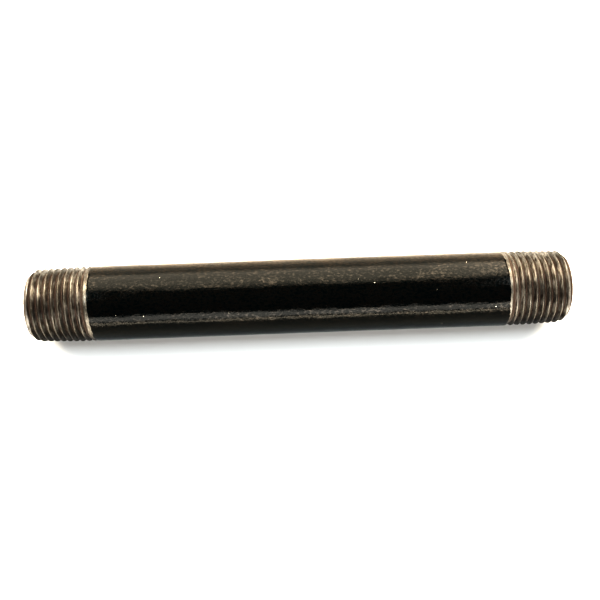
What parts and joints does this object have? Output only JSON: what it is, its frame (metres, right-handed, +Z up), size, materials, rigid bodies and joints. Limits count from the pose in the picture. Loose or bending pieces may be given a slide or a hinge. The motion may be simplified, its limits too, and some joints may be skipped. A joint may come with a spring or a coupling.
{
  "type": "threaded pipe nipple",
  "caption": "Long steel pipe nipple: a straight pipe with a tapered external pipe thread on each end, black lacquer on the barrel between them and bare threads.",
  "frame": {"origin": "middle of the pipe's axis, halfway between the two end faces", "axes": "+X along the pipe's axis towards its right end, +Z up, +Y to the back; the pipe lies on its side"},
  "size_m": [0.1524, 0.0214, 0.0214],
  "materials": {
    "bare_steel": "cut threads and ends in bare steel with light brown rust and oil",
    "black_lacquer": "thin black lacquer, semi-gloss, dusty and lightly scratched",
    "mill_scale": "matt grey-black oxide from rolling",
    "weld_steel": "matt, slightly rippled weld bead"
  },
  "bodies": {
    "root": {"pipe_wall": "bare_steel", "lacquer_coat": "black_lacquer", "mill_scale": "mill_scale", "seam_bead": "weld_steel"}
  },
  "joints": []
}
